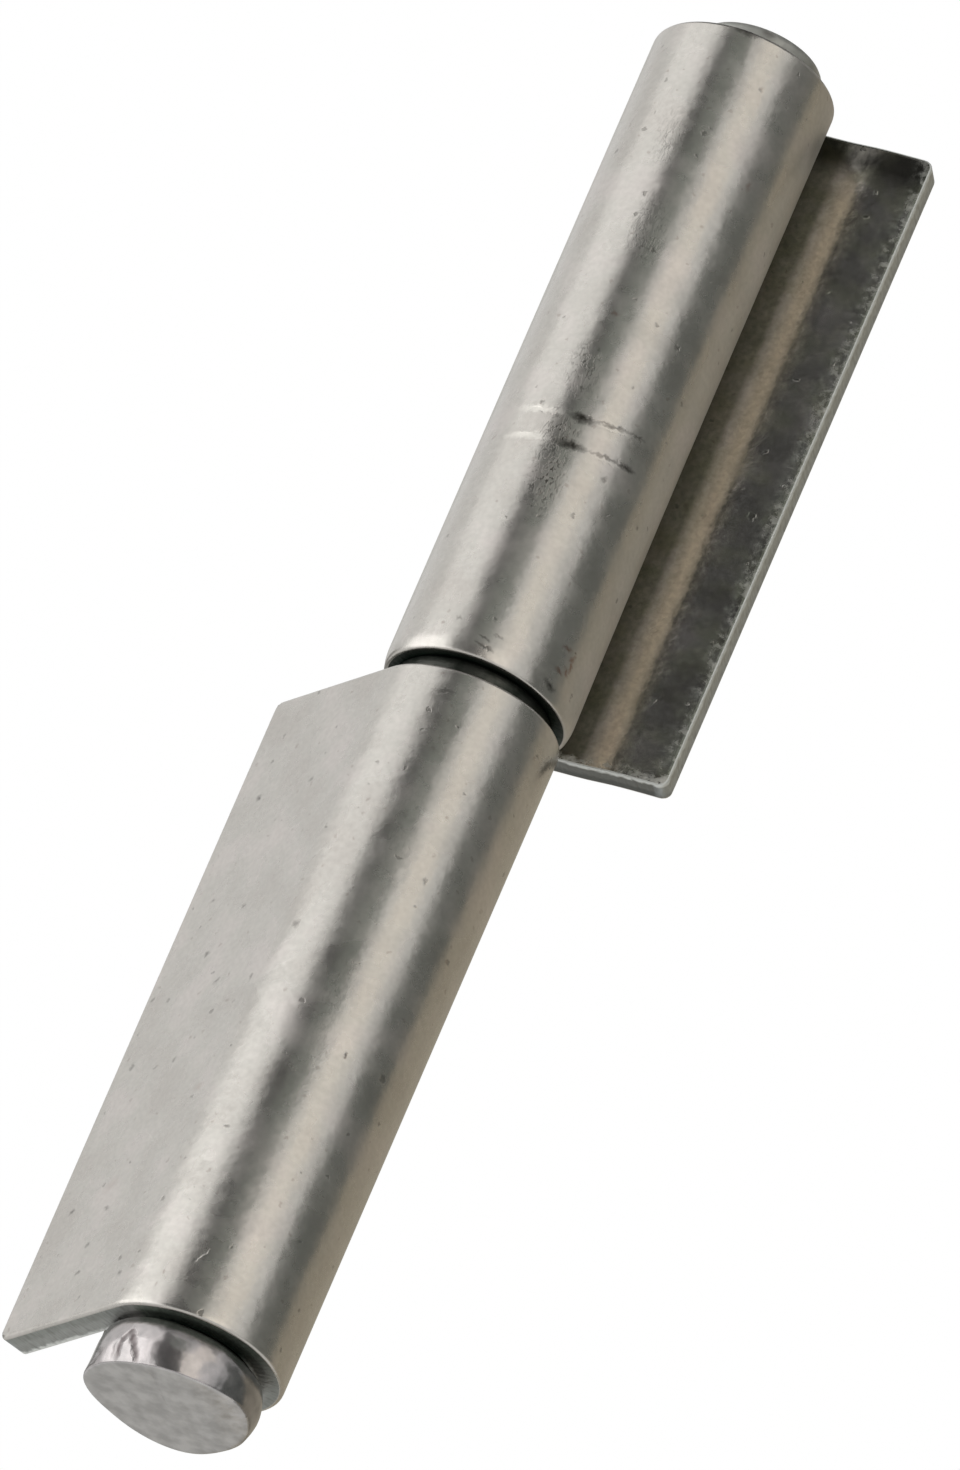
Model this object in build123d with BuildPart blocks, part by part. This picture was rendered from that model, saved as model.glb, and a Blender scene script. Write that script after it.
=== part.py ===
from build123d import *
import os
from math import asin, degrees, sqrt

# Weld-on hinge with two rolled leaves, one above the other on a loose headed pin.
# Millimetres, +Z up along the pin. The origin is the middle of the flat outer face of
# the frame leaf, which is the face that lies against the post when the leaf is welded on.

# Rolled leaf: one strip of sheet, rolled into a knuckle that runs on into a flat wing
sheet = 2.5             # thickness of the strip
bore = 11.0             # inside of the knuckle
knuckle_length = 62.0   # width of the strip, along the pin
wing_width = 16.0       # from the pin axis to the wing's free edge
wing_corner = 1.1       # round of the wing's two corners, seen from the flat side
sheared_edge = 0.45     # edge that the shear rolled over, all round the outer face
seam_gap = 0.3          # left open between the rolled end and the wing

# Pin: round bar with a cold-headed end, dropped in from above
pin_clearance = 0.075   # all round, between the pin and what turns on it
pin_tail = 2.2          # plain end that shows below the lower knuckle
pin_end_chamfer = 0.6
neck_radius = 1.2       # fillet under the head, which stops on the edge of the bore
neck_seat = 0.02        # left between that fillet and the edge of the bore
head_height = 3.9
head_diameter = 14.5    # at the belly of the head
head_base_inset = 0.2   # how much slimmer the head is at its underside
head_top_inset = 0.15   # and where its shoulder starts
head_shoulder = 0.7     # round between the side and the flat top
head_base_round = 0.3   # round of the lower edge, clear of the fillet under the head

# Washer between the knuckles, narrower than they are, so that it lies in their shadow
washer_thickness = 1.6
washer_rim = 1.25       # how far it stays inside the outside of the knuckles
washer_edge = 0.2

# Angles about the pin, from the direction of a leaf's wing
roll_finish_angle = 270.0   # where the outside of the roll runs on into the wing's back
door_angle = 224.7          # how far the door leaf is turned from the frame leaf

knuckle_radius = bore / 2 + sheet
pin_radius = bore / 2 - pin_clearance
pin_x = -wing_width / 2
pin_y = knuckle_radius
frame_bottom = -knuckle_length / 2
frame_top = knuckle_length / 2
door_bottom = frame_top + washer_thickness
door_top = door_bottom + knuckle_length
pin_plane = Plane((pin_x, pin_y, 0))


def rolled_leaf(bottom, wing_angle):
    """One leaf standing on the height bottom, with its wing turned from +X about the pin."""
    section = pin_plane.offset(bottom).rotated((0, 0, wing_angle))
    along_wing = Axis(section.origin, section.x_dir)
    through_wing = Axis(section.origin, section.y_dir)
    # The rolled end stops where its outer corner would close on the wing's inner face
    roll_start_angle = -degrees(asin((bore / 2 - seam_gap) / knuckle_radius))
    roll_sweep_angle = roll_finish_angle - roll_start_angle
    with BuildPart() as leaf:
        with BuildSketch(section):
            with BuildLine():
                inside = CenterArc((0, 0), bore / 2, roll_start_angle, roll_sweep_angle)
                outside = CenterArc((0, 0), knuckle_radius, roll_start_angle, roll_sweep_angle)
                Line(inside @ 0, outside @ 0)
                Polyline(
                    inside @ 1,
                    (wing_width, -bore / 2),
                    (wing_width, -knuckle_radius),
                    outside @ 1,
                )
            make_face()
        extrude(amount=knuckle_length)
        wing_corners = leaf.edges().filter_by(through_wing).group_by(along_wing)[-1]
        fillet(wing_corners, wing_corner)
        # The outer face is the flat back of the wing and the roll that it runs on into,
        # and the edge that those two share stays smooth
        wing_back = leaf.faces().sort_by(through_wing)[0]
        roll_back = leaf.faces().filter_by(GeomType.CYLINDER).sort_by(SortBy.AREA)[-1]
        shared = section.from_local_coords((0, -knuckle_radius, knuckle_length / 2))
        outer_edges = (wing_back.edges() + roll_back.edges()).sort_by_distance(shared)[2:]
        fillet(outer_edges, sheared_edge)
    return leaf


frame_leaf = rolled_leaf(frame_bottom, 0)
frame_leaf.part.label = "frame_leaf"

door_leaf = rolled_leaf(door_bottom, door_angle)
door_leaf.part.label = "door_leaf"

with BuildPart() as thrust_washer:
    with BuildSketch(pin_plane.offset(frame_top)):
        Circle(knuckle_radius - washer_rim)
        Circle(pin_radius + pin_clearance, mode=Mode.SUBTRACT)
    extrude(amount=washer_thickness)
    outer_rim = thrust_washer.edges().group_by(SortBy.LENGTH)[-1]
    chamfer(outer_rim, washer_edge)
thrust_washer.part.label = "thrust_washer"

# The fillet under the head is wider than the bore from the height neck_reach above its
# start, so it stops there and holds the head clear of the knuckle
neck_reach = sqrt(neck_radius**2 - (neck_radius - pin_clearance) ** 2)
head_bottom = door_top + neck_radius - neck_reach + neck_seat
head_top = head_bottom + head_height
head_radius = head_diameter / 2
head_base_radius = head_radius - head_base_inset
shoulder_radius = head_radius - head_top_inset
tail_bottom = frame_bottom - pin_tail

# Half of the pin's outline, as radius and height, turned about the pin axis
half_section = Plane((pin_x, pin_y, 0), x_dir=(1, 0, 0), z_dir=(0, -1, 0))
with BuildPart() as hinge_pin:
    with BuildSketch(half_section):
        with BuildLine():
            shank = Polyline(
                (0, head_top),
                (0, tail_bottom),
                (pin_radius - pin_end_chamfer, tail_bottom),
                (pin_radius, tail_bottom + pin_end_chamfer),
                (pin_radius, head_bottom - neck_radius),
            )
            neck = RadiusArc(shank @ 1, (pin_radius + neck_radius, head_bottom), neck_radius)
            base = Line(neck @ 1, (head_base_radius - head_base_round, head_bottom))
            base_edge = RadiusArc(
                base @ 1, (head_base_radius, head_bottom + head_base_round), -head_base_round
            )
            side = ThreePointArc(
                base_edge @ 1,
                (head_radius, head_bottom + head_height / 2),
                (shoulder_radius, head_top - head_shoulder),
            )
            shoulder = RadiusArc(
                side @ 1, (shoulder_radius - head_shoulder, head_top), -head_shoulder
            )
            Line(shoulder @ 1, shank @ 0)
        make_face()
    revolve(axis=Axis(half_section.origin, (0, 0, 1)))
hinge_pin.part.label = "hinge_pin"

os.makedirs("parts", exist_ok=True)
export_step(frame_leaf.part, "parts/frame_leaf.step")
export_step(door_leaf.part, "parts/door_leaf.step")
export_step(thrust_washer.part, "parts/thrust_washer.step")
export_step(hinge_pin.part, "parts/hinge_pin.step")
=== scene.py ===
import math

import bmesh
import bpy
from mathutils import Matrix, Vector


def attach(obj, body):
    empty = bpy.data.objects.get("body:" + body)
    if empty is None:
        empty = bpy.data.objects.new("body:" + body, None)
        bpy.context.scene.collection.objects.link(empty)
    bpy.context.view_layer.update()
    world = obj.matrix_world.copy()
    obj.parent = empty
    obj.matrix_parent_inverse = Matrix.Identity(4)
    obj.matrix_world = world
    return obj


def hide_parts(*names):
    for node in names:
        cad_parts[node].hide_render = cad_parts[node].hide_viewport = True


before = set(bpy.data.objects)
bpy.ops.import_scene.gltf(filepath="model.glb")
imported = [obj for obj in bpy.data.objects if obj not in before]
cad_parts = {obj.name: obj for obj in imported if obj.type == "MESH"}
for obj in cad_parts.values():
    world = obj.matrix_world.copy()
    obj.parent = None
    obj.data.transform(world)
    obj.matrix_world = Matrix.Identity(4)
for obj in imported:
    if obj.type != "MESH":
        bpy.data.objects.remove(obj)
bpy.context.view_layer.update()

# The camera stands where the photograph was taken from: a little above the head of the
# pin, with the hinge lying across the frame from its lower left to its upper right.
camera_place = (0.6456, 2.0212, 1.1129)
camera_right = Vector((0.92839, -0.11048, -0.35475))
camera_up = Vector((-0.25045, 0.51918, -0.81715))
focal_length_mm = 726.6
bpy.ops.object.camera_add(location=camera_place)
camera = bpy.context.object
camera.name = "photo_camera"
camera_axes = Matrix((camera_right, camera_up, camera_right.cross(camera_up))).transposed()
camera.rotation_euler = camera_axes.to_euler()
camera.data.lens = focal_length_mm
bpy.context.scene.camera = camera
bpy.context.scene.view_settings.view_transform = "Standard"


# The studio is a white tent over a white floor. Bare steel has hardly a colour of its own
# and shows what stands round it, so boards stand there for it to mirror: soft lamps for the
# light bands along the knuckles, and dark flags for the bands between them.
def linear(colour):
    """The linear red, green, blue and alpha of an sRGB hex colour."""
    channels = [int(colour[i:i + 2], 16) / 255 for i in (0, 2, 4)]
    return [c / 12.92 if c <= 0.04045 else ((c + 0.055) / 1.055) ** 2.4 for c in channels] + [1]


def add(tree, kind, sockets=(), **settings):
    """Adds a node to a material with its settings. Each socket gets its value, or is linked to
    an output or to a node's first output."""
    node = tree.nodes.new("ShaderNode" + kind)
    for name, value in settings.items():
        setattr(node, name, value)
    for name, value in dict(sockets).items():
        if isinstance(value, bpy.types.Node):
            value = value.outputs[0]
        if isinstance(value, bpy.types.NodeSocket):
            tree.links.new(value, node.inputs[name])
        else:
            node.inputs[name].default_value = value
    return node


def new_material(name):
    """An empty material, and the node tree that it is built in."""
    material = bpy.data.materials.new(name)
    material.use_nodes = True
    material.node_tree.nodes.clear()
    return material, material.node_tree


tent = bpy.data.worlds.new("white_tent")
bpy.context.scene.world = tent
tent.use_nodes = True
tent.node_tree.nodes["Background"].inputs["Color"].default_value = (1, 1, 1, 1)
tent.node_tree.nodes["Background"].inputs["Strength"].default_value = 1

# White paper, matt all over, so that it is evenly bright and mirrors nothing
floor_height = -0.6
paper, tree = new_material("white_paper_floor")
surface = add(tree, "BsdfDiffuse", {"Color": (1, 1, 1, 1)})
add(tree, "OutputMaterial", {"Surface": surface})
bpy.ops.mesh.primitive_plane_add(size=30, location=(0, 0, floor_height))
floor = bpy.context.object
floor.name = "studio_floor"
floor.data.materials.append(paper)

pin_x, pin_y = -0.008, 0.008
board_distance = 0.6


def board(name, colour, strength, **placing):
    """A glowing board that only the gloss of the steel sees."""
    material, tree = new_material(name)
    glow = add(tree, "Emission", {"Color": linear(colour), "Strength": strength})
    add(tree, "OutputMaterial", {"Surface": glow})
    bpy.ops.mesh.primitive_plane_add(**placing)
    made = bpy.context.object
    made.name = name
    made.visible_camera = made.visible_diffuse = made.visible_shadow = False
    made.visible_transmission = False
    made.data.materials.append(material)
    return made


def standing_board(name, facing, width, foot, top, colour, strength):
    """A board that stands facing the hinge on that compass angle from the pin, as wide as that
    angle seen from there, between two heights. Angles are in degrees."""
    angle = math.radians(facing)
    x = pin_x + board_distance * math.cos(angle)
    y = pin_y + board_distance * math.sin(angle)
    made = board(
        name, colour, strength, size=1, location=(x, y, (foot + top) / 2),
        rotation=(math.pi / 2, 0, angle - math.pi / 2),
    )
    made.scale = (2 * board_distance * math.tan(math.radians(width / 2)), top - foot, 1)


# The camera looks down, so the knuckles mirror what stands low, and the head and the rounded
# edges what stands high
low_top = -0.15
high_top = 0.6
standing_board("left_soft_lamp_foot", 146, 50, floor_height, -0.32, "ffffff", 1.5)
standing_board("left_soft_lamp", 146, 50, -0.32, -0.18, "ffffff", 1.3)
standing_board("left_soft_lamp_top", 152, 56, -0.18, high_top, "ffffff", 2.2)
standing_board("middle_dark_flag", 107.5, 15, floor_height, low_top, "ffffff", 0.08)
standing_board("middle_dark_flag_top", 101, 44, low_top, high_top, "ffffff", 0.12)
standing_board("middle_grey_flag", 88, 24, floor_height, low_top, "e9f2ea", 0.36)
standing_board("middle_soft_lamp", 53, 24, floor_height, low_top, "fffaf2", 1.3)
standing_board("middle_soft_lamp_top", 63, 28, low_top, high_top, "fffaf2", 1.6)
standing_board("right_dark_flag", 3, 44, floor_height, high_top, "eef4ee", 0.22)
standing_board("right_brown_board", -49, 60, floor_height, high_top, "bab2a2", 1.0)
standing_board("back_brown_board", -93, 30, floor_height, high_top, "b0a999", 1.0)
standing_board("back_pale_board", 250, 44, floor_height, low_top, "d8d8d4", 1.0)
standing_board("back_dim_board", 228, 66, low_top, 0.1, "a09f9d", 1.0)
standing_board("back_grey_board", 252, 40, 0.1, high_top, "d2d2d0", 1.0)
board("overhead_grey_board", "ffffff", 0.9, size=3, location=(pin_x, pin_y, 0.7))
board("floor_dark_board", "ffffff", 0.25, size=1, location=(pin_x, pin_y, floor_height + 0.002))


# Frame leaf: one strip of 2.5 mm mill-finish steel, rolled at one edge into the knuckle that
# holds the pin. The shear rolled over the edge of its outer face and left a burr on the
# inner one. It is welded to the post by the flat back of its wing.
mm = 0.001
sheet = 2.5 * mm
bore_radius = 5.5 * mm
knuckle_radius = bore_radius + sheet
knuckle_length = 62 * mm
wing_width = 16 * mm
wing_corner = 0.8 * mm
rolled_over_edge = 0.3 * mm
burr_edge = 0.15 * mm
seam_gap = 0.3 * mm
roll_start = -math.asin((bore_radius - seam_gap) / knuckle_radius)
roll_finish = math.radians(270)
roll_steps = 78
rows_each_way = 14
row_step = 2 * mm
rows_by_the_shear = (1.5 * mm, 1.0 * mm, 0.6 * mm, 0.35 * mm)
wing_lines = 14
wing_step = 1 * mm
tiny = 0.001 * mm
slack = 0.1 * mm


def take_up(piece):
    """Makes that piece the only one that an operator acts on."""
    bpy.ops.object.select_all(action="DESELECT")
    piece.select_set(True)
    bpy.context.view_layer.objects.active = piece


def pick_parts(kind, wanted):
    """Selects just the vertices, edges or faces in edit mode that are wanted."""
    bpy.ops.mesh.select_mode(type=kind)
    bpy.ops.mesh.select_all(action="DESELECT")
    mesh = bmesh.from_edit_mesh(bpy.context.object.data)
    parts = {"VERT": mesh.verts, "EDGE": mesh.edges, "FACE": mesh.faces}[kind]
    for part in [part for part in parts if wanted(part)]:
        part.select_set(True)
    mesh.select_flush_mode()
    bmesh.update_edit_mesh(bpy.context.object.data)


def depth_in_sheet(point):
    """How far a point of the leaf lies below the strip's outer face."""
    x, y = point.x - pin_x, point.y - pin_y
    if x > 0 and y < -bore_radius + tiny:
        return y + knuckle_radius
    return knuckle_radius - math.hypot(x, y)


def on_outer_face(face):
    return all(depth_in_sheet(v.co) < tiny for v in face.verts)


def on_inner_face(face):
    return all(depth_in_sheet(v.co) > sheet - tiny for v in face.verts)


def on_wing_corner(edge):
    """Whether an edge runs through the sheet at the end of the wing."""
    return (all(v.co.x > pin_x + wing_width - tiny for v in edge.verts)
            and abs(edge.verts[0].co.y - edge.verts[1].co.y) > tiny)


def pick_rim_of(on_face):
    """Selects the edges where that face of the strip meets the sheared edges."""
    pick_parts("EDGE", lambda e: on_face(e.link_faces[0]) != on_face(e.link_faces[1]))


bpy.ops.object.select_all(action="DESELECT")
bpy.ops.mesh.primitive_cube_add(
    size=1,
    location=(pin_x + wing_width / 2, sheet / 2, 0),
    scale=(wing_width, sheet, knuckle_length),
)
frame_leaf = bpy.context.object
frame_leaf.name = "frame_leaf_steel"
bpy.ops.object.transform_apply(location=True, rotation=True, scale=True)
bpy.ops.object.mode_set(mode="EDIT")
pick_parts("EDGE", on_wing_corner)
bpy.ops.mesh.bevel(offset=wing_corner, segments=8, affect="EDGES")
heights = [row_step * row for row in range(-rows_each_way, rows_each_way + 1)]
for inset in rows_by_the_shear:
    heights += [inset - knuckle_length / 2, knuckle_length / 2 - inset]
for height in heights:
    bpy.ops.mesh.select_all(action="SELECT")
    bpy.ops.mesh.bisect(plane_co=(0, 0, height), plane_no=(0, 0, 1))
places = [wing_step * line for line in range(1, wing_lines + 1)]
for along in places + [wing_width - inset for inset in rows_by_the_shear]:
    bpy.ops.mesh.select_all(action="SELECT")
    bpy.ops.mesh.bisect(plane_co=(pin_x + along, 0, 0), plane_no=(1, 0, 0))
pick_parts("FACE", lambda f: all(v.co.x < pin_x + tiny for v in f.verts))
bpy.ops.mesh.spin(
    steps=roll_steps,
    angle=roll_finish - roll_start,
    center=(pin_x, pin_y, 0),
    axis=(0, 0, 1),
)
bpy.ops.mesh.select_all(action="SELECT")
bpy.ops.mesh.remove_doubles(threshold=tiny)
bpy.ops.mesh.normals_make_consistent(inside=False)
pick_rim_of(on_outer_face)
bpy.ops.mesh.bevel(offset=rolled_over_edge, segments=4, affect="EDGES", clamp_overlap=False)
pick_rim_of(on_inner_face)
bpy.ops.mesh.bevel(offset=burr_edge, segments=2, affect="EDGES", clamp_overlap=False)
bpy.ops.object.mode_set(mode="OBJECT")


def strip_place(point):
    """A point's place on the flat strip: along it from the pin, across it, below its outer face."""
    x, y = point.x - pin_x, point.y - pin_y
    depth = depth_in_sheet(point)
    if x > 0 and y < -bore_radius + slack:
        return x, point.z, depth
    roll = (roll_finish - math.atan2(y, x)) % (2 * math.pi)
    return -knuckle_radius * roll, point.z, depth


strip = frame_leaf.data.attributes.new("strip", "FLOAT_VECTOR", "POINT")
for vertex, place in zip(frame_leaf.data.vertices, strip.data):
    place.vector = strip_place(vertex.co)


# No operator gives the slow curves that the shear and the rolls leave in real strip, so its
# points are pushed straight out or in, each by its place on the strip.
def push_out(leaf, amount):
    """Moves each point of a leaf out from its outer face by what amount gives for its place."""
    for vertex, place in zip(leaf.data.vertices, leaf.data.attributes["strip"].data):
        along, across, depth = place.vector
        outward = Vector((0, -1, 0))
        if along < 0:
            outward = Vector((vertex.co.x - pin_x, vertex.co.y - pin_y, 0)).normalized()
        vertex.co += amount(along, across, depth) * outward


def held_between(low, value, high):
    """The value, or the limit that it has passed."""
    return min(high, max(low, value))


def pulled_by_the_shear(across, depth, pull, reach):
    """How far the shear pulled the outer face in, beside the end that it cut last."""
    near = max(0, 1 - (knuckle_length / 2 - across) / reach)
    return -pull * near ** 2 * (1 - depth / sheet)


take_up(frame_leaf)
bpy.ops.object.duplicate()
door_leaf = bpy.context.object
door_leaf.name = "door_leaf_steel"

# Places on the wing are measured from the pin, and places on the roll in radians from where
# the wing runs on into it
bow_depth = 0.25 * mm
bow_start, bow_rise = 8 * mm, 4 * mm
bow_ease_start, bow_ease_length, bow_ease = 12.5 * mm, 3.5 * mm, 0.3
pressed_depth, pressed_reach = 0.05 * mm, 0.9 * mm
oval_depth = 0.13 * mm
oval_turn, oval_lean = math.radians(12), 0.25
oval_start, oval_rise = 0.35, 1.4
flare_depth = 0.4 * mm
flare_start, flare_sweep = 3.75, math.radians(130)


def bent_by_the_rolls(along, across, depth):
    """This wing is bowed a little, and its inner edge pressed down at the far end. The outside
    of the knuckle is a little oval, and it stands out at the joint where the roll ends."""
    pulled = pulled_by_the_shear(across, depth, pull=0.25 * mm, reach=1.5 * mm)
    if along > 0:
        swell = held_between(0, (along - bow_start) / bow_rise, 1)
        eased = max(0, (along - bow_ease_start) / bow_ease_length)
        bow = math.sin(math.pi / 2 * swell) ** 2 - bow_ease * eased ** 2
        pressed = max(0, 1 - (knuckle_length / 2 + across) / pressed_reach) * depth / sheet
        return pressed_depth * pressed - bow_depth * bow + pulled
    roll = -along / knuckle_radius
    oval = math.cos(2 * roll + oval_turn) + math.cos(roll) + oval_lean * math.sin(roll)
    started = held_between(0, (roll - oval_start) / oval_rise, 1)
    up_the_flare = math.sin(math.pi * max(0, roll - flare_start) / flare_sweep) ** 2
    flare = up_the_flare * (0.5 + across / knuckle_length) ** 3
    return oval_depth * oval * started * (1 - depth / sheet) + flare_depth * flare + pulled


push_out(frame_leaf, bent_by_the_rolls)
sharpest_round = math.radians(40)


def smooth_metal(piece):
    """Shades a piece smooth with its corners kept, and its flats flat up to their rounds."""
    take_up(piece)
    bpy.ops.object.shade_smooth_by_angle(angle=sharpest_round)
    bpy.ops.object.modifier_add(type="WEIGHTED_NORMAL")
    piece.modifiers[-1].keep_sharp = True
    bpy.ops.object.modifier_apply(modifier=piece.modifiers[-1].name)


def sum_of(tree, *terms):
    """Adds several strengths up, each with how much it counts."""
    total = 0.0
    for strength, share in terms:
        total = add(tree, "Math", {0: strength, 1: share, 2: total}, operation="MULTIPLY_ADD")
    return total


mark_depth = 1.5 * mm


def marks_on(tree, places, marks):
    """How strong listed marks are. Each has its two places on the strip or round the head,
    its length and its width in millimetres, its turn in degrees, and its strength."""
    total = 0.0
    for along, across, length, width, degrees, strength in marks:
        spot = add(tree, "Mapping", {
            "Vector": places,
            "Location": (along * mm, across * mm, 0),
            "Rotation": (0, 0, math.radians(degrees)),
            "Scale": (length / 2 * mm, width / 2 * mm, mark_depth),
        }, vector_type="TEXTURE")
        round_spot = add(tree, "TexGradient", {"Vector": spot}, gradient_type="SPHERICAL")
        total = add(tree, "Math", {0: round_spot.outputs["Fac"], 1: strength, 2: total},
                    operation="MULTIPLY_ADD")
    return total


def laid_over(tree, colour, *layers):
    """A colour with others laid over it in turn, each where that strength is, by that share."""
    for strength, share, layer in layers:
        cover = add(tree, "Math", {0: strength, 1: share}, operation="MULTIPLY")
        colour = add(tree, "MixRGB", {"Fac": cover, "Color1": colour, "Color2": linear(layer)})
    return colour


def tinted(tree, colour, *tints):
    """A colour that others shade in turn, each where that strength is."""
    for strength, tint in tints:
        colour = add(tree, "MixRGB", {
            "Fac": strength, "Color1": colour, "Color2": linear(tint),
        }, blend_type="MULTIPLY")
    return colour


def bare_steel(tree, colour, dullness, height, relief):
    """Ends a material as bare steel of that colour and dullness, with that much relief."""
    bump = add(tree, "Bump", {"Height": height, "Strength": 1.0, "Distance": relief})
    steel = add(tree, "BsdfPrincipled", {
        "Base Color": colour, "Metallic": 1.0, "Roughness": dullness, "Normal": bump,
    })
    add(tree, "OutputMaterial", {"Surface": steel})


pit_slope = 0.35


def pits_in(tree, place, spacing, radius, share):
    """Small pits up to that radius, in that share of the cells of that spacing, both in
    millimetres. Their walls slope over a part of the radius."""
    cells = add(tree, "TexVoronoi", {"Vector": place, "Scale": 1 / (spacing * mm)},
                voronoi_dimensions="2D")
    chance = add(tree, "SeparateColor", {"Color": cells.outputs["Color"]})
    reach = add(tree, "MapRange", {
        "Value": chance, "From Min": 1 - share, "From Max": 1,
        "To Min": 0, "To Max": radius / spacing,
    })
    inside = add(tree, "Math", {0: reach, 1: cells.outputs["Distance"]}, operation="SUBTRACT")
    return add(tree, "MapRange", {
        "Value": inside, "From Min": 0, "From Max": pit_slope * radius / spacing,
    })


def mill_steel(name, scores, scuffs, spots, stains, rubs):
    """Mill-finish steel strip, rolled cold between plain rolls: a dull warm grey with faint
    clouds, low waves and small dark pits, and the scores and scuffs of handling.
    Its inner face ran over the forming rolls, so it is smoother, and dark with their oil in
    patches; it is darker beside the knuckle and towards the far end, and a brown stripe on it
    is a painted reflection of the knuckle."""
    material, tree = new_material(name)
    strip = add(tree, "Attribute", attribute_name="strip").outputs["Vector"]
    along, across, depth = add(tree, "SeparateXYZ", {"Vector": strip}).outputs
    inner = add(tree, "MapRange", {"Value": depth, "From Min": 1.2 * mm, "From Max": 2.2 * mm})
    outer = add(tree, "MapRange", {"Value": depth, "From Min": 2.2 * mm, "From Max": 1.2 * mm})
    wander = add(tree, "TexNoise", {"Vector": strip, "Scale": 1 / (0.4 * mm), "Detail": 2})
    ragged = add(tree, "MixRGB", {
        "Fac": 0.7 * mm, "Color1": strip, "Color2": wander.outputs["Color"],
    }, blend_type="ADD").outputs[0]

    # The grain that the rolls press in is about a tenth of a millimetre, too fine to show, so
    # it is drawn as pebbling half a millimetre across
    long_waves = add(tree, "TexNoise", {"Vector": strip, "Scale": 1 / (8 * mm), "Detail": 1})
    waves = add(tree, "TexNoise", {"Vector": strip, "Scale": 1 / (2.4 * mm), "Detail": 1})
    ripples = add(tree, "TexNoise", {"Vector": strip, "Scale": 1 / (1.1 * mm), "Detail": 1})
    pebble = add(tree, "TexNoise", {"Vector": strip, "Scale": 1 / (0.5 * mm), "Detail": 1})
    cloud = add(tree, "TexNoise", {"Vector": strip, "Scale": 1 / (6 * mm), "Detail": 4})
    small_pits = pits_in(tree, ragged, 2.6, 0.28, 0.3)
    large_pits = pits_in(tree, ragged, 7, 0.42, 0.22)
    pit = add(tree, "Math", {0: small_pits, 1: large_pits}, operation="MAXIMUM")
    brown_speck = pits_in(tree, ragged, 1.7, 0.22, 0.4)
    score = marks_on(tree, ragged, scores)
    spot = marks_on(tree, ragged, spots)
    stain = marks_on(tree, ragged, stains)

    # Short wavy tracks along the knuckle that the rolls left where they slipped. Real ones are
    # as fine as hair, so they are drawn wide enough to show
    drawn = add(tree, "Mapping", {"Vector": strip, "Scale": (1, 0.3, 1)})
    tracks = add(tree, "TexNoise", {"Vector": drawn, "Scale": 1 / (0.3 * mm), "Detail": 1.5})
    off_middle = add(tree, "Math", {0: tracks, 1: 0.5}, operation="SUBTRACT")
    off_track = add(tree, "Math", {0: off_middle}, operation="ABSOLUTE")
    track = add(tree, "MapRange", {"Value": off_track, "From Min": 0.045, "From Max": 0.01})
    scuffed = marks_on(tree, ragged, scuffs)
    scuff = add(tree, "Math", {0: track, 1: scuffed}, operation="MULTIPLY")

    tone = add(tree, "ValToRGB", {"Fac": cloud})
    dull_cloud, pale_cloud = tone.color_ramp.elements
    dull_cloud.position, dull_cloud.color = 0.36, linear("afaba5")
    pale_cloud.position, pale_cloud.color = 0.64, linear("b9b4af")
    tone.color_ramp.elements.new(0.5).color = linear("b3b0aa")
    grain = add(tree, "MapRange", {
        "Value": pebble, "From Min": 0.3, "From Max": 0.7, "To Min": 0.95, "To Max": 1.04,
    })
    grained = add(tree, "MixRGB", {
        "Fac": 1, "Color1": tone, "Color2": grain,
    }, blend_type="MULTIPLY")
    # Scores are laid on pale: on the frame knuckle this is a painted highlight along the grooves,
    # on the door leaf the pale of light scratches. Some dark spots are a painted reflection of the
    # dark band
    outer_colour = laid_over(
        tree, grained,
        (pit, 0.42, "4f4c47"), (brown_speck, 0.3, "75655c"), (score, 0.6, "dedbd3"),
        (scuff, 1, "474540"), (spot, 1, "3f3b37"), (stain, 1, "835f50"),
    )

    # The inner face is mottled with thin oil and darker beside the knuckle, and a brown stripe
    # along the wing is a painted reflection of the knuckle's flank. It is rubbed bright in places,
    # most of all beside its edges
    mottles = add(tree, "TexNoise", {"Vector": ragged, "Scale": 1 / (0.45 * mm), "Detail": 2})
    mottling = add(tree, "MapRange", {
        "Value": mottles, "From Min": 0.35, "From Max": 0.65, "To Min": 0.88, "To Max": 1.1,
    })
    patchiness = add(tree, "TexNoise", {"Vector": strip, "Scale": 1 / (2.6 * mm), "Detail": 3})
    patches = add(tree, "MapRange", {"Value": patchiness, "From Min": 0.42, "From Max": 0.62})
    darker_beside_knuckle = add(tree, "MapRange", {
        "Value": along, "From Min": 9.1 * mm, "From Max": 8.3 * mm,
    })
    # The brown stripe is a painted reflection of the knuckle's flank, with its curved end where the
    # knuckle's end is mirrored
    stripe_start = add(tree, "MapRange", {
        "Value": along, "From Min": 8.5 * mm, "From Max": 10.0 * mm,
    })
    stripe_end = add(tree, "MapRange", {
        "Value": along, "From Min": 12.2 * mm, "From Max": 10.4 * mm,
    })
    stripe_foot = add(tree, "MapRange", {
        "Value": across, "From Min": -29 * mm, "From Max": -25 * mm,
    })
    reflected_stripe = add(tree, "Math", {0: stripe_start, 1: stripe_end}, operation="MULTIPLY")
    far_end = add(tree, "MapRange", {
        "Value": across, "From Min": -27 * mm, "From Max": -29 * mm,
    })
    # Thin oil patches, and a darkening of the inner face beside the knuckle
    patched_and_darker_by_knuckle = tinted(tree, outer_colour, (patches, "e9ebe0"), (darker_beside_knuckle, "c2c2b8"))
    with_reflected_stripe = laid_over(tree, patched_and_darker_by_knuckle, (reflected_stripe, stripe_foot, "c9beac"))
    mottled = add(tree, "MixRGB", {
        "Fac": 1, "Color1": with_reflected_stripe, "Color2": mottling,
    }, blend_type="MULTIPLY")
    # Darker towards the far end
    inner_colour = tinted(tree, mottled, (far_end, "8f8f8b"))
    colour = add(tree, "MixRGB", {"Fac": inner, "Color1": outer_colour, "Color2": inner_colour})

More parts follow.
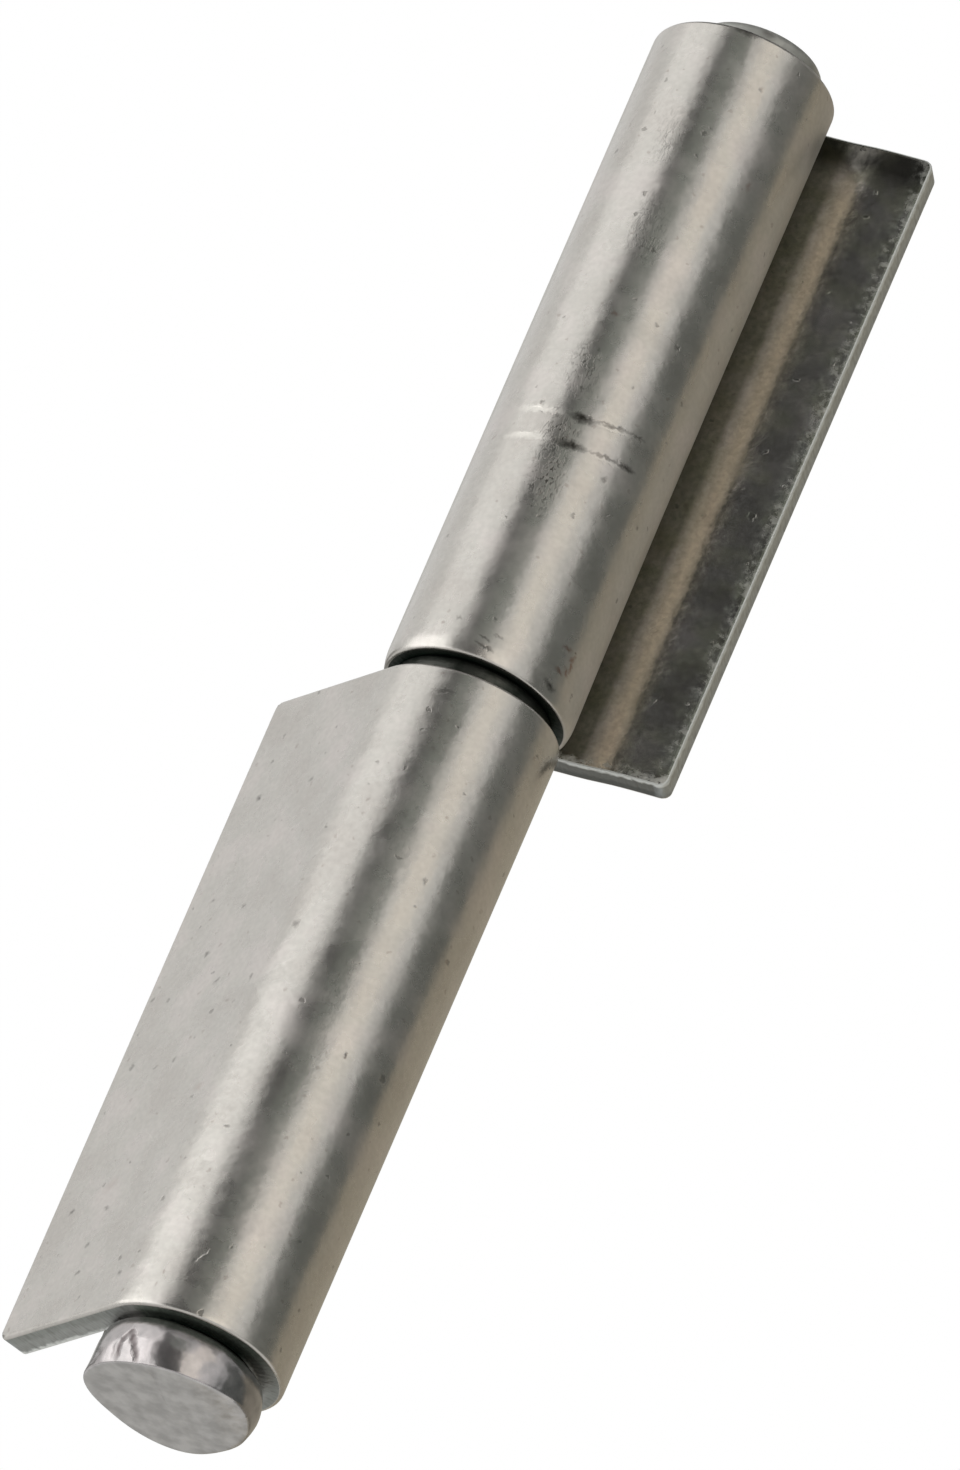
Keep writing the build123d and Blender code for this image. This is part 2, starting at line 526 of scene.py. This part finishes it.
    flakes = add(tree, "TexNoise", {"Vector": ragged, "Scale": 1 / (0.6 * mm), "Detail": 3})
    flecks = add(tree, "MapRange", {"Value": flakes, "From Min": 0.42, "From Max": 0.75})
    free_edge = add(tree, "MapRange", {
        "Value": along, "From Min": 14.4 * mm, "From Max": 15.85 * mm,
    })
    near_end = add(tree, "MapRange", {
        "Value": across, "From Min": 29.8 * mm, "From Max": 30.7 * mm,
    })
    rubbed = sum_of(tree, (free_edge, 1.0), (near_end, 1.3), (marks_on(tree, ragged, rubs), 1.0))
    rubbed_fleck = add(tree, "Math", {0: flecks, 1: rubbed}, operation="MULTIPLY")
    fleck = add(tree, "Math", {0: rubbed_fleck, 1: inner}, operation="MULTIPLY")
    colour = laid_over(tree, colour, (fleck, 1, "c2c1bb"))

    height = sum_of(
        tree,
        (long_waves, 2.6), (waves, 1.4), (ripples, 0.8), (pebble, 0.22),
        (pit, -0.45), (score, -1.6), (scuff, -0.4), (spot, -0.8), (fleck, 0.15),
    )
    by_the_joint = add(tree, "MapRange", {
        "Value": along, "From Min": -34.5 * mm, "From Max": -37 * mm,
    })
    dullness = sum_of(
        tree,
        (cloud, 0.2), (outer, 0.11), (fleck, 0.35), (patches, 0.05), (waves, 0.1),
        (by_the_joint, 0.22),
    )
    bare_steel(tree, colour, dullness, height, 0.025 * mm)
    return material


def sheared_steel(name, dark, pale, painted_shade_depth, painted_shade_end):
    """The strip's sheared edge: a dark torn band below the outer face, a paler one below that,
    and a burr coloured bright, a painted highlight. On the knuckle's ends the edge is tinted
    darker and greener, and below that depth, and up to that place on the strip, it is painted
    black, a painted shade where the ends face the gap and the head. The shear's scratches are
    drawn a third of a millimetre wide, because real ones are too fine to show."""
    material, tree = new_material(name)
    strip = add(tree, "Attribute", attribute_name="strip").outputs["Vector"]
    along, across, depth = add(tree, "SeparateXYZ", {"Vector": strip}).outputs
    round_the_edge = add(tree, "Math", {0: along, 1: across}, operation="ADD")
    edge_place = add(tree, "CombineXYZ", {"X": round_the_edge, "Y": depth})
    drawn_out = add(tree, "Mapping", {"Vector": edge_place, "Scale": (1, 0.25, 1)})
    scratches = add(tree, "TexNoise", {
        "Vector": drawn_out, "Scale": 1 / (0.33 * mm), "Detail": 3,
    })
    torn = add(tree, "TexNoise", {"Vector": edge_place, "Scale": 1 / (0.6 * mm), "Detail": 3})
    uneven = add(tree, "Math", {0: torn, 1: 0.9 * mm, 2: depth}, operation="MULTIPLY_ADD")
    band = add(tree, "MapRange", {
        "Value": uneven, "From Min": 1.3 * mm, "From Max": 1.75 * mm,
    })
    burr = add(tree, "MapRange", {
        "Value": uneven, "From Min": 2.45 * mm, "From Max": 2.75 * mm,
    })
    free_edge = add(tree, "MapRange", {
        "Value": along, "From Min": 14.8 * mm, "From Max": 15.6 * mm,
    })
    scratched = add(tree, "MapRange", {"Value": scratches, "From Min": 0.4, "From Max": 1.1})
    knuckle_start = add(tree, "MapRange", {
        "Value": along, "From Min": -1.5 * mm, "From Max": -2.5 * mm,
    })
    up_to_painted_shade_end = add(tree, "MapRange", {
        "Value": along,
        "From Min": (painted_shade_end - 1.5) * mm, "From Max": (painted_shade_end + 1.5) * mm,
    })
    on_the_knuckle = add(tree, "Math", {0: knuckle_start, 1: up_to_painted_shade_end}, operation="MULTIPLY")
    near_the_pin = add(tree, "MapRange", {
        "Value": uneven,
        "From Min": (painted_shade_depth + 0.3) * mm, "From Max": (painted_shade_depth + 0.8) * mm,
    })
    # The burr's pale colour is a painted highlight
    colour = laid_over(
        tree, linear(dark),
        (band, 1, pale), (free_edge, 1, "a2a7a8"), (scratched, 1, "5c5a55"), (burr, 1, "cfd1ce"),
    )
    # The knuckle's ends are tinted darker and greener, then painted black beyond the depth, a
    # painted shade in the joint's gap and under the head
    colour = tinted(tree, colour, (on_the_knuckle, "c2cdc4"))
    colour = laid_over(tree, colour, (on_the_knuckle, near_the_pin, "26352d"))
    height = sum_of(tree, (scratches, 1.0), (torn, 1.0), (burr, 0.8))
    unevenness = sum_of(tree, (band, -0.12), (torn, 0.2), (burr, 0.3))
    dullness = add(tree, "Math", {0: unevenness, 1: 0.4}, operation="ADD")
    bare_steel(tree, colour, dullness, height, 0.04 * mm)
    return material


burr_spread = 0.02 * mm
burr_top = 2.3 * mm


def on_sheared_edge(leaf, face):
    """Whether a face of the leaf lies between its outer and inner faces, or on its burr."""
    depths = [leaf.data.attributes["strip"].data[i].vector.z for i in face.vertices]
    spread = max(depths) - min(depths)
    on_burr = spread > burr_spread and min(depths) > burr_top
    return spread > sheet / 2 or on_burr


def finish_leaf(leaf, flat_steel, edge_steel, node, body):
    """Gives a leaf its steel and its sheared edges, and puts it in the frame."""
    leaf.data.materials.append(flat_steel)
    leaf.data.materials.append(edge_steel)
    for face in leaf.data.polygons:
        face.material_index = int(on_sheared_edge(leaf, face))
    smooth_metal(leaf)
    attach(leaf, body)
    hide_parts(node)


# Two scored lines go part of the way round this knuckle, 2.6 mm apart, with a painted
# highlight along them. Where they cross the dark band they are deeper, and dark spots laid on them
# there are a painted reflection of that band, as are the dark spots on the rim by the joint. There
# are worn patches by them, and a spot of rust by the joint.
frame_scores = [
    (-22.6, 7.95, 5.2, 0.9, 1, 1.0), (-22.3, 10.6, 5.4, 0.95, 3, 1.0),
    (-28.9, 7.7, 3.5, 0.5, 11, 0.5), (-29.4, 10.5, 3.5, 0.5, 7, 0.5),
]
frame_scuffs = [
    (-25.4, 13.7, 3.6, 9.5, 8, 1.3), (-25.0, 9.3, 4.2, 4, 0, 1.1), (-24.8, 3.5, 3.6, 8, 8, 1.0),
    (-25.0, -10.2, 4, 9, 8, 0.7), (-23.6, -19, 3.6, 9, 10, 0.5),
]
frame_spots = [
    (-26.2, 7.95, 2.8, 1.1, 0, 1.3), (-26.2, 10.55, 3.4, 1.2, 5, 1.3),
    (-28.9, 7.4, 5.6, 0.45, 11, 0.8), (-29.4, 10.2, 4.6, 0.45, 7, 0.8),
    (-31.3, 7.0, 1.6, 0.6, 11, 0.7), (-31.5, 9.95, 2.2, 0.8, 7, 1.0),
    (-22.5, 7.3, 0.7, 0.5, 0, 0.7), (-29.9, 12.0, 0.9, 0.7, 30, 0.7),
    (-26.3, 30.3, 2.2, 0.5, -10, 0.9), (-26.0, 29.6, 1.6, 0.45, -14, 0.8),
    (-27.0, 29.0, 1.3, 0.4, -10, 0.6), (-32.9, 30.3, 1.9, 0.8, -10, 1.1),
    (-23.4, 28.4, 0.8, 0.6, 0, 0.5), (-35.0, 13.2, 0.6, 0.5, 0, 0.6),
    (-25.9, -30.5, 3.0, 1.2, -5, 1.2),
]
frame_stains = [
    (-25.3, -2.1, 0.9, 0.6, 0, 0.7), (-33.1, 26.5, 1.5, 0.6, 12, 0.9),
    (-34.0, 26.9, 1.1, 0.6, 60, 0.9), (-34.2, 27.6, 0.6, 1.4, 0, 0.9),
    (-33.9, 28.3, 1.1, 0.6, -50, 0.9), (-33.1, 28.6, 1.4, 0.6, -8, 0.9),
    (-31.3, -18.0, 0.8, 1.2, 0, 0.5),
]
frame_rubs = [
    (13.2, 30.1, 6.5, 2.6, -4, 2.4), (12.2, 25.0, 1.4, 9, -4, 1.4),
    (13.4, 15.5, 1.3, 12, -8, 1.2), (14.4, 4.5, 1.3, 11, -6, 1.2),
    (12.6, 19.4, 2.2, 1.6, 0, 1.0), (14.6, -10, 1.5, 14, -2, 0.7),
]
frame_steel = mill_steel(
    "frame_leaf_mill_steel", frame_scores, frame_scuffs, frame_spots, frame_stains, frame_rubs,
)
frame_edge_steel = sheared_steel(
    "frame_leaf_sheared_edge", "565855", "696a66", painted_shade_depth=0.6, painted_shade_end=-60,
)
finish_leaf(frame_leaf, frame_steel, frame_edge_steel, "frame_leaf", "frame")


# Door leaf: the same steel strip, cut and rolled like the frame leaf, and set above it on the
# pin with its wing turned to the other side. The door is welded to the back of this wing.
washer_thickness = 1.6 * mm
door_angle = math.radians(224.7)
rolled_length = knuckle_radius * (roll_finish - roll_start)
turn_in_depth, turn_in_length = 0.6 * mm, 3 * mm
door_oval_turn, door_oval_rise = math.radians(167), 0.75


def rolled_oval(along, across, depth):
    """The outside of this knuckle is a little oval too, the other way round, and it turns in
    where the roll ends."""
    roll = max(0, -along / knuckle_radius)
    started = min(1, roll / door_oval_rise)
    oval = oval_depth * math.sin(2 * roll - door_oval_turn) * started
    turned_in = turn_in_depth * max(0, 1 - (rolled_length + along) / turn_in_length) ** 2
    pulled = pulled_by_the_shear(across, depth, pull=0.05 * mm, reach=0.6 * mm)
    return (oval - turned_in) * (1 - depth / sheet) + pulled


push_out(door_leaf, rolled_oval)
take_up(door_leaf)
door_leaf.matrix_world = (
    Matrix.Translation((pin_x, pin_y, knuckle_length + washer_thickness))
    @ Matrix.Rotation(door_angle, 4, "Z")
    @ Matrix.Translation((-pin_x, -pin_y, 0))
)
bpy.ops.object.transform_apply(location=True, rotation=True, scale=True)

# This leaf has only a few scratches, pits and pale stains
door_scores = [
    (-6.1, 26.0, 2.2, 0.4, 60, 0.6), (6.0, 14.0, 3.5, 0.25, -35, 0.4),
]
door_scuffs = [
    (-7.6, 2.0, 4, 16, 8, 0.25), (-7.2, -16, 4, 12, 8, 0.2),
]
door_spots = [
    (12.5, -20.4, 1.0, 0.8, 0, 1.0), (9.9, -4.6, 0.9, 0.7, 20, 0.8),
    (6.5, -1.2, 1.1, 0.6, 40, 0.7), (1.3, -0.5, 0.6, 1.0, 10, 0.7),
    (7.4, -8.7, 0.8, 0.6, 0, 0.6), (12.6, -10.3, 0.7, 0.6, 0, 0.6),
    (-1.7, -5.2, 0.9, 1.2, 30, 0.6), (5.4, -20.6, 0.9, 0.6, 30, 0.6),
    (15.4, -1.3, 0.8, 0.5, 20, 0.7), (-10.3, 5.0, 0.5, 0.9, 0, 1.0),
    (-10.6, -12.0, 0.5, 0.8, 0, 0.8), (-3.5, 14.3, 0.8, 0.5, 0, 0.8),
    (-5.9, -28.4, 2.4, 0.5, 8, 0.5), (13.4, 19.7, 0.9, 0.7, 20, 0.9),
    (8.6, 23.8, 0.8, 0.7, 0, 0.8), (8.2, 26.6, 0.9, 0.6, 30, 0.8),
    (1.6, 28.0, 0.8, 0.6, 0, 0.7), (8.2, 20.4, 0.8, 0.6, 0, 0.6),
]
door_stains = [
    (2.0, 10.0, 1.5, 1.1, 0, 0.25), (9.0, 18.0, 2.4, 1.6, 30, 0.2),
]
door_rubs = [
    (13.5, 4.0, 1.4, 20, 3, 0.6), (14.0, -18, 1.4, 14, -4, 0.5),
]
door_steel = mill_steel(
    "door_leaf_mill_steel", door_scores, door_scuffs, door_spots, door_stains, door_rubs,
)
door_edge_steel = sheared_steel(
    "door_leaf_sheared_edge", "8f928e", "9b9d9a", painted_shade_depth=1.8, painted_shade_end=-15.5,
)
finish_leaf(door_leaf, door_steel, door_edge_steel, "door_leaf", "door")


# Hinge pin: round steel bar with a head upset cold at one end, dropped in from above. The
# head is a little lopsided, its flat top slopes off on one side and its side has folds in it.
# Its outline is the radius and the height of each ring, in millimetres.
shank_radius = 5.425
neck_bottom, neck_round = 94.202, 1.2
head_radius = 7.2
head_top = 99.302
tail_bottom, tail_radius = -33.2, 4.9
pin_outline = [
    (5.2, -33.06), (5.36, -32.86), (shank_radius, -32.55), (shank_radius, -31.4),
    (shank_radius, -31.05), (shank_radius, 94.2),
]
for step in range(1, 6):
    angle = math.radians(18 * step)
    pin_outline.append((
        shank_radius + neck_round * (1 - math.cos(angle)),
        neck_bottom + neck_round * math.sin(angle),
    ))
pin_outline += [
    (6.78, 95.44), (6.91, 95.56), (7.01, 95.76), (7.09, 96.05), (7.15, 96.4), (7.19, 96.8),
]
pin_outline += [(head_radius, height) for height in (97.2, 97.6, 98.0, 98.35, 98.65, 98.9, 99.08)]
pin_outline += [(7.17, 99.19), (7.09, 99.27)]
pin_outline += [(radius, head_top) for radius in (6.96, 6.7, 6.2, 5.5, 4.8, 4.0, 3.0, 1.8, 0.7)]

radius, height = pin_outline[0]
bpy.ops.object.select_all(action="DESELECT")
bpy.ops.mesh.primitive_cylinder_add(
    vertices=160,
    radius=tail_radius * mm,
    depth=(height - tail_bottom) * mm,
    location=(pin_x, pin_y, (height + tail_bottom) / 2 * mm),
)
hinge_pin = bpy.context.object
hinge_pin.name = "hinge_pin_steel"
bpy.ops.object.transform_apply(location=True, rotation=True, scale=True)
bpy.ops.object.mode_set(mode="EDIT")
pick_parts("FACE", lambda f: all(v.co.z > tail_bottom * mm + tiny for v in f.verts))
bpy.ops.transform.resize(
    value=(radius / tail_radius, radius / tail_radius, 1),
    center_override=(pin_x, pin_y, height * mm),
)
for new_radius, new_height in pin_outline[1:]:
    bpy.ops.mesh.extrude_region_move(
        TRANSFORM_OT_translate={"value": (0, 0, (new_height - height) * mm)}
    )
    bpy.ops.transform.resize(
        value=(new_radius / radius, new_radius / radius, 1),
        center_override=(pin_x, pin_y, new_height * mm),
    )
    radius, height = new_radius, new_height
bpy.ops.object.mode_set(mode="OBJECT")

# The camera sees the side of the head that faces this way. Marks on the head are placed by how
# far round it they stand from there, to the right, and by their height
front = math.radians(72)
pin_round = hinge_pin.data.attributes.new("round_the_head", "FLOAT_VECTOR", "POINT")
for vertex, place in zip(hinge_pin.data.vertices, pin_round.data):
    facing = math.atan2(vertex.co.y - pin_y, vertex.co.x - pin_x)
    from_front = (front - facing + math.pi) % (2 * math.pi) - math.pi
    place.vector = head_radius * mm * from_front, vertex.co.z, 0


# The blow that upset the head left it lopsided, which no operator gives, so its points are
# moved by where they stand round the pin: its top is lobed and sunk on one side, its lower
# edge hangs down on the other, and it is slimmer on the right. Lengths are in millimetres,
# and each lobe of the top has how often it comes round, how far it stands out, and where.
upset_from = 95.3
top_radius = 6.7
top_lobes = [(1, 0.15, -1.34), (2, 0.16, 1.37), (3, 0.19, 0.64), (4, 0.145, -0.19)]
lobes_start, lobes_rise = 97.3, 1.8
side_radius = 6.3
slimmed_by, tucked_in_by, tucked_at_front, wavy_by = 0.13, 0.1, 0.22, 0.03
tucked_facing = math.radians(20)
lower_edge, lower_edge_fall = 97.5, 2.1
hung_by, hung_facing = 0.26, math.radians(-60)
sunk_by, sunk_at_rim = 0.55, 0.5
sunk_facing, sunk_beyond, sunk_reach = math.radians(52), 2.6, 4.6
sunk_start, sunk_rise = 96.5, 2.5


def upset(point):
    """Where the blow moved a point of the head."""
    x, y = point.x - pin_x, point.y - pin_y
    radius, facing, height = math.hypot(x, y) / mm, math.atan2(y, x), point.z / mm
    turn = front - facing
    lobed = top_radius + sum(tall * math.cos(count * (turn - at)) for count, tall, at in top_lobes)
    up_the_head = held_between(0, (height - lobes_start) / lobes_rise, 1) ** 1.6
    new_radius = radius * (1 + (lobed / head_radius - 1) * up_the_head)
    low = 0
    if radius > side_radius:
        low = held_between(0, (lower_edge - height) / lower_edge_fall, 1)
        slimmed = slimmed_by * (1 + math.sin(turn)) * (1 - up_the_head)
        at_front = max(0, math.cos(turn - tucked_facing))
        tucked_in = (tucked_in_by + tucked_at_front * at_front) * low ** 1.3
        wavy = wavy_by * (math.sin(3 * facing + 0.6) + math.sin(7 * facing + height))
        new_radius += wavy - slimmed - tucked_in
    low_side = max(0, new_radius * math.cos(turn - sunk_facing) - sunk_beyond) / sunk_reach
    up_the_slope = held_between(0, (height - sunk_start) / sunk_rise, 1)
    sunk = (sunk_by * low_side ** 2 + sunk_at_rim * low_side ** 8) * up_the_slope
    hung = hung_by * (1 + math.cos(turn - hung_facing)) * low
    return Vector((
        pin_x + new_radius * mm * math.cos(facing),
        pin_y + new_radius * mm * math.sin(facing),
        point.z - (sunk + hung) * mm,
    ))


for vertex in hinge_pin.data.vertices:
    if vertex.co.z > upset_from * mm:
        vertex.co = upset(vertex.co)

# The head and the plain end both stand a little to one side in the photograph
underside, neck_edge, head_core = 94.9 * mm, 6 * mm, 96 * mm
head_shift = (0.17 * mm, 0.02 * mm, 0)
tail_from = -31.3 * mm
tail_shift = (0.6 * mm, 0, 0)


def on_head(vertex):
    """Whether a vertex belongs to the head, down to where its underside leaves the neck."""
    beyond_neck = math.hypot(vertex.co.x - pin_x, vertex.co.y - pin_y) > neck_edge
    return vertex.co.z > underside and beyond_neck or vertex.co.z > head_core


bpy.ops.object.mode_set(mode="EDIT")
pick_parts("VERT", on_head)
bpy.ops.transform.translate(value=head_shift)
pick_parts("VERT", lambda v: v.co.z < tail_from)
bpy.ops.transform.translate(value=tail_shift)
bpy.ops.object.mode_set(mode="OBJECT")


def headed_steel(name, pale, dark, right_painted_shade, dullness, folds):
    """Bar steel upset cold in a die: brighter than the strip where the die pressed it smooth,
    with low lumps, and dark folds where the metal closed on itself. To the right of the
    front its colour is darkened by that tint, a painted shade."""
    material, tree = new_material(name)
    place = add(tree, "TexCoord").outputs["Object"]
    head_place = add(tree, "Attribute", attribute_name="round_the_head").outputs["Vector"]
    wander = add(tree, "TexNoise", {"Vector": place, "Scale": 1.5 / mm, "Detail": 2})
    ragged = add(tree, "MixRGB", {
        "Fac": 0.6 * mm, "Color1": head_place, "Color2": wander.outputs["Color"],
    }, blend_type="ADD").outputs[0]
    lumps = add(tree, "TexNoise", {"Vector": place, "Scale": 1 / (2.2 * mm), "Detail": 1})
    small_lumps = add(tree, "TexNoise", {"Vector": place, "Scale": 1 / (0.9 * mm), "Detail": 1})
    cloud = add(tree, "TexNoise", {"Vector": place, "Scale": 1 / (1.6 * mm), "Detail": 3})
    clouded = add(tree, "MapRange", {"Value": cloud, "From Min": 0.36, "From Max": 0.64})
    fold = marks_on(tree, ragged, folds)
    to_the_right = add(tree, "SeparateXYZ", {"Vector": head_place}).outputs["X"]
    shaded = add(tree, "MapRange", {
        "Value": to_the_right, "From Min": 1 * mm, "From Max": 5 * mm,
    })
    colour = laid_over(tree, linear(dark), (clouded, 1, pale))
    # Painted shade on the head's right side
    colour = tinted(tree, colour, (shaded, right_painted_shade))
    colour = laid_over(tree, colour, (fold, 1, "4a4040"))
    height = sum_of(tree, (lumps, 2.6), (small_lumps, 1.0), (fold, -2.8))
    unevenness = sum_of(tree, (cloud, 0.12), (fold, 0.3))
    uneven_dullness = add(tree, "Math", {0: unevenness, 1: dullness}, operation="ADD")
    bare_steel(tree, colour, uneven_dullness, height, 0.03 * mm)
    return material


head_folds = [
    (-5.05, 97.6, 2.3, 0.85, 57, 1.0), (-4.4, 98.8, 2.1, 0.85, 68, 1.05),
    (-6.2, 98.6, 2.4, 0.8, 105, 1.0), (-5.75, 97.5, 1.7, 0.7, 120, 0.8),
    (-6.75, 98.6, 1.8, 0.5, 100, 0.5),
]
struck_marks = [(-3.0, 99.3, 1.5, 0.8, 20, 0.3)]
# A dark mark low on the tail, at the front
tail_dark_marks = [(0, -32.4, 2.0, 0.8, 0, 0.6)]
hinge_pin.data.materials.append(
    headed_steel("cold_headed_steel", "aea9a8", "949190", "e6e9eb", 0.17, head_folds)
)
hinge_pin.data.materials.append(
    headed_steel("struck_steel_top", "b9b7b5", "a19f9d", "ffffff", 0.28, struck_marks)
)
hinge_pin.data.materials.append(
    headed_steel("cropped_bar_tail", "b2b2ad", "9a9a95", "ffffff", 0.5, tail_dark_marks)
)
cold_headed, struck_top, cropped_tail = range(3)
lowest_of_top, highest_of_tail = 97 * mm, -31 * mm
for face in hinge_pin.data.polygons:
    face.material_index = cold_headed
    if face.normal.z > 0.8 and face.center.z > lowest_of_top:
        face.material_index = struck_top
    if face.center.z < highest_of_tail:
        face.material_index = cropped_tail
smooth_metal(hinge_pin)
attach(hinge_pin, "pin")
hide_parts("hinge_pin")


# Washer: a plain steel ring punched from strip, which lies on the lower knuckle, carries the
# upper one and keeps the two from wearing each other. It is coloured near black, a painted
# shade for the gap between the knuckles.
washer_radius = 6.75 * mm
washer_edge = 0.2 * mm
bpy.ops.object.select_all(action="DESELECT")
bpy.ops.mesh.primitive_cylinder_add(
    vertices=128,
    radius=washer_radius,
    depth=washer_thickness,
    location=(pin_x, pin_y, (knuckle_length + washer_thickness) / 2),
)
washer = bpy.context.object
washer.name = "washer_steel"
bpy.ops.object.transform_apply(location=True, rotation=True, scale=True)
bpy.ops.object.mode_set(mode="EDIT")
pick_parts("FACE", lambda f: abs(f.normal.z) > 0.9)
bpy.ops.mesh.inset(thickness=washer_radius - bore_radius)
bpy.ops.mesh.delete(type="ONLY_FACE")
pick_parts("EDGE", lambda e: len(e.link_faces) == 1)
bpy.ops.mesh.bridge_edge_loops()


def on_washer_rim(edge):
    reach = [math.hypot(v.co.x - pin_x, v.co.y - pin_y) for v in edge.verts]
    level = abs(edge.verts[0].co.z - edge.verts[1].co.z) < tiny
    return min(reach) > washer_radius - tiny and level


pick_parts("EDGE", on_washer_rim)
bpy.ops.mesh.bevel(offset=washer_edge, segments=3, affect="EDGES")
bpy.ops.object.mode_set(mode="OBJECT")

# Punched strip steel coloured near black, a painted shade, with a film that is a little shinier
# where it is thick
gap_shade_steel, tree = new_material("punched_steel_painted_gap_shade")
place = add(tree, "TexCoord").outputs["Object"]
film = add(tree, "TexNoise", {"Vector": place, "Scale": 1 / (1.2 * mm), "Detail": 3})
smeared = add(tree, "Mapping", {"Vector": place, "Scale": (1, 1, 4)})
smears = add(tree, "TexNoise", {"Vector": smeared, "Scale": 1 / (0.8 * mm), "Detail": 2})
thin_film = add(tree, "MapRange", {"Value": film, "From Min": 0.38, "From Max": 0.62})
colour = laid_over(tree, linear("2a2e29"), (thin_film, 1, "454642"))
dullness = add(tree, "MapRange", {"Value": film, "To Min": 0.5, "To Max": 0.3})
bare_steel(tree, colour, dullness, sum_of(tree, (film, 1.0), (smears, 0.6)), 0.03 * mm)
washer.data.materials.append(gap_shade_steel)
smooth_metal(washer)
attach(washer, "frame")
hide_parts("thrust_washer")
